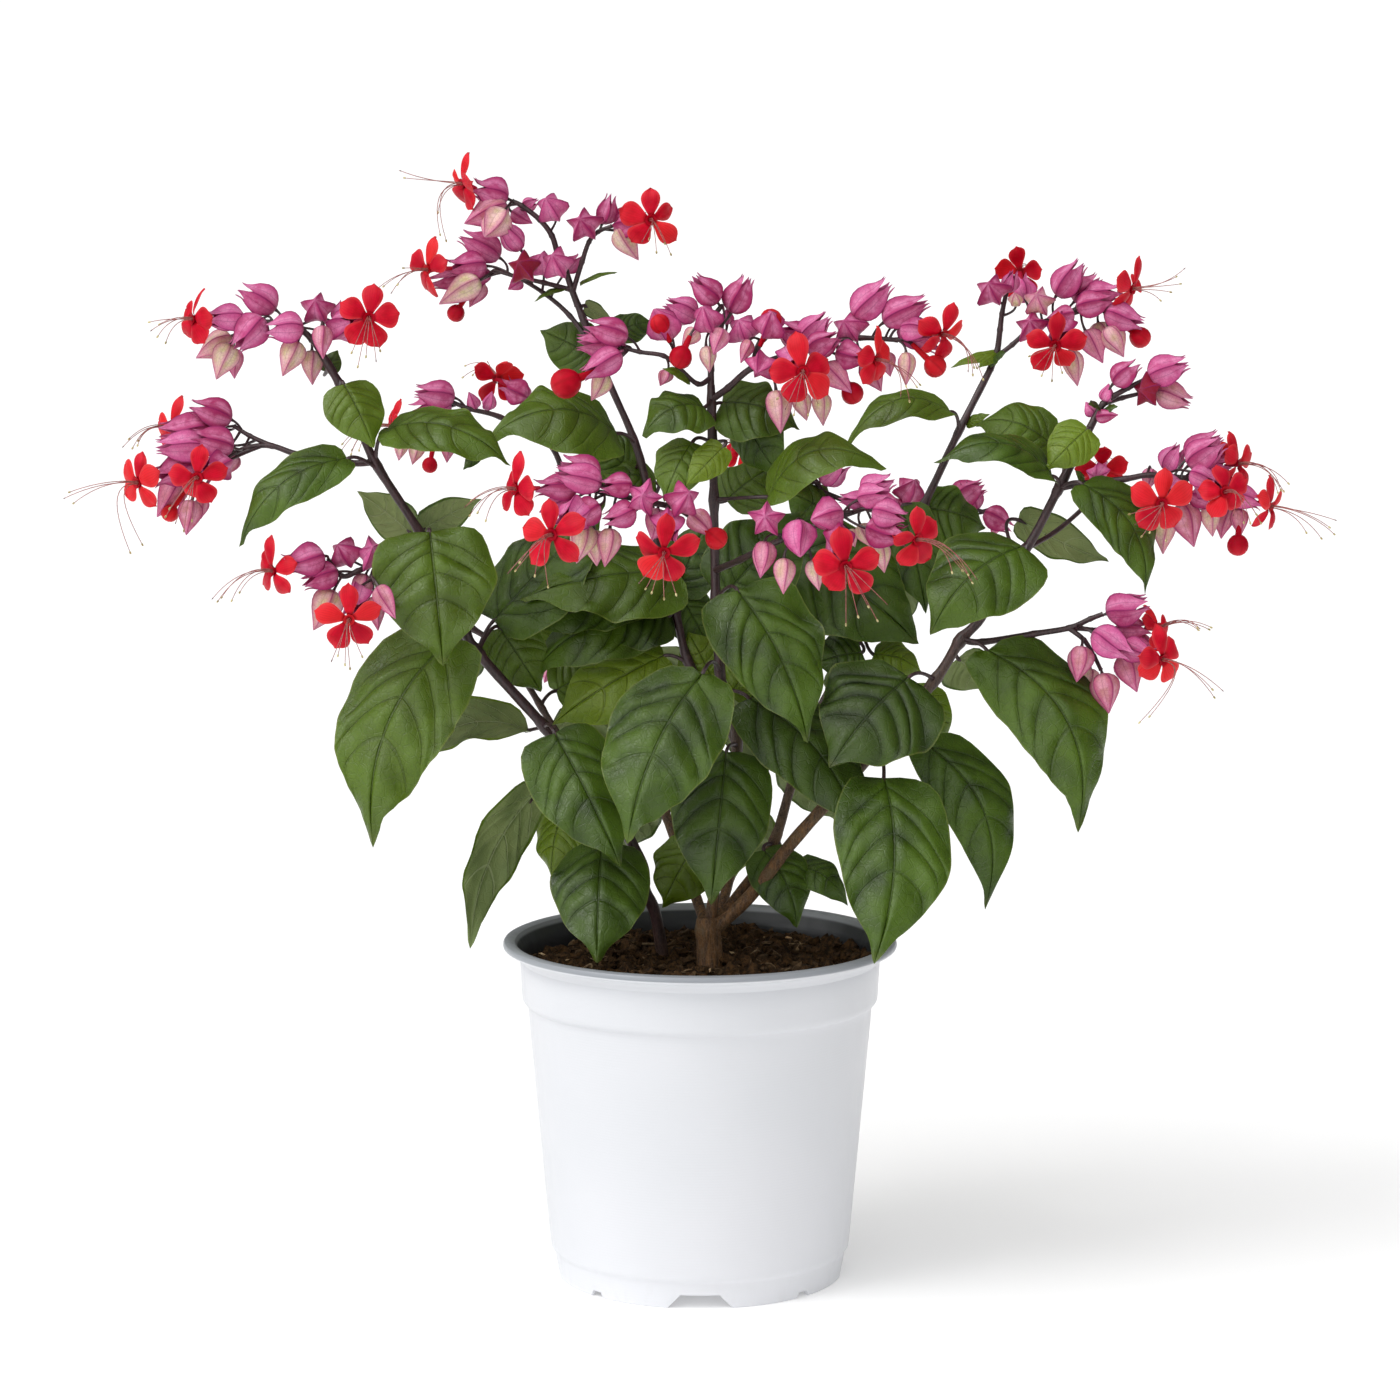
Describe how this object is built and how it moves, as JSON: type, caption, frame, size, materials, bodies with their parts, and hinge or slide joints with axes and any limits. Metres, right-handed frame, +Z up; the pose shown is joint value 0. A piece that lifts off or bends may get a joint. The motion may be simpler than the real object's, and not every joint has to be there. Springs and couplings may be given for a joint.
{
  "type": "potted clerodendrum speciosum",
  "caption": "Bushy potted clerodendrum: ovate veined leaves, forked sprays of pink lantern calyces and red flowers with long stamens, in a round tapered grower's pot of soil.",
  "frame": {"origin": "on the floor under the middle of the pot", "axes": "+Z up, +Y towards the back of the plant, +X to the right seen from the front"},
  "size_m": [0.5246, 0.2729, 0.4842],
  "materials": {
    "pot_plastic": "white moulded plastic, satin, grey inside and on the lip",
    "potting_soil": "dark crumbly potting soil",
    "bark": "tan to purple-brown bark with fine grain along the stem",
    "leaf": "satin green leaf with sunken veins",
    "calyx": "papery magenta pink with darker keels, cream on the hanging ones",
    "petal": "soft scarlet petal with a darker throat"
  },
  "bodies": {
    "root": {"bloom_back_left_1": "petal", "bloom_back_left_2": "petal", "bloom_centre_left_1": "petal", "bloom_centre_left_2": "petal", "bloom_centre_left_3": "petal", "bloom_centre_right_1": "petal", "bloom_centre_right_2": "petal", "bloom_far_left_1": "petal", "bloom_far_left_2": "petal", "bloom_far_left_3": "petal", "bloom_far_right_1": "petal", "bloom_far_right_2": "petal", "bloom_far_right_3": "petal", "bloom_far_right_4": "petal", "bloom_left_high_1": "petal", "bloom_left_high_2": "petal", "bloom_left_low_1": "petal", "bloom_left_low_2": "petal", "bloom_right_back_1": "petal", "bloom_right_high_1": "petal", "bloom_right_high_2": "petal", "bloom_right_high_3": "petal", "bloom_right_low_1": "petal", "bloom_right_low_2": "petal", "bloom_top_centre_1": "petal", "bloom_top_centre_2": "petal", "bloom_top_centre_3": "petal", "bloom_top_left_1": "petal", "bloom_top_left_2": "petal", "bloom_top_left_3": "petal", "pot": "pot_plastic", "soil": "potting_soil", "spray_back_centre": "calyx", "spray_back_left": "calyx", "spray_behind_left": "calyx", "spray_behind_right": "calyx", "spray_centre_left": "calyx", "spray_centre_right": "calyx", "spray_centre_top": "calyx", "spray_far_left": "calyx", "spray_far_right": "calyx", "spray_left_high": "calyx", "spray_left_low": "calyx", "spray_right_back": "calyx", "spray_right_high": "calyx", "spray_right_low": "calyx", "spray_right_tip": "calyx", "spray_top_centre": "calyx", "spray_top_left": "calyx", "stem_back_left": "leaf", "stem_back_right": "leaf", "stem_centre": "leaf", "stem_left_back": "leaf", "stem_left_inner": "leaf", "stem_left_outer": "leaf", "stem_right_inner": "leaf", "stem_right_outer": "leaf", "stem_right_side": "leaf", "trunk": "bark"}
  },
  "joints": []
}
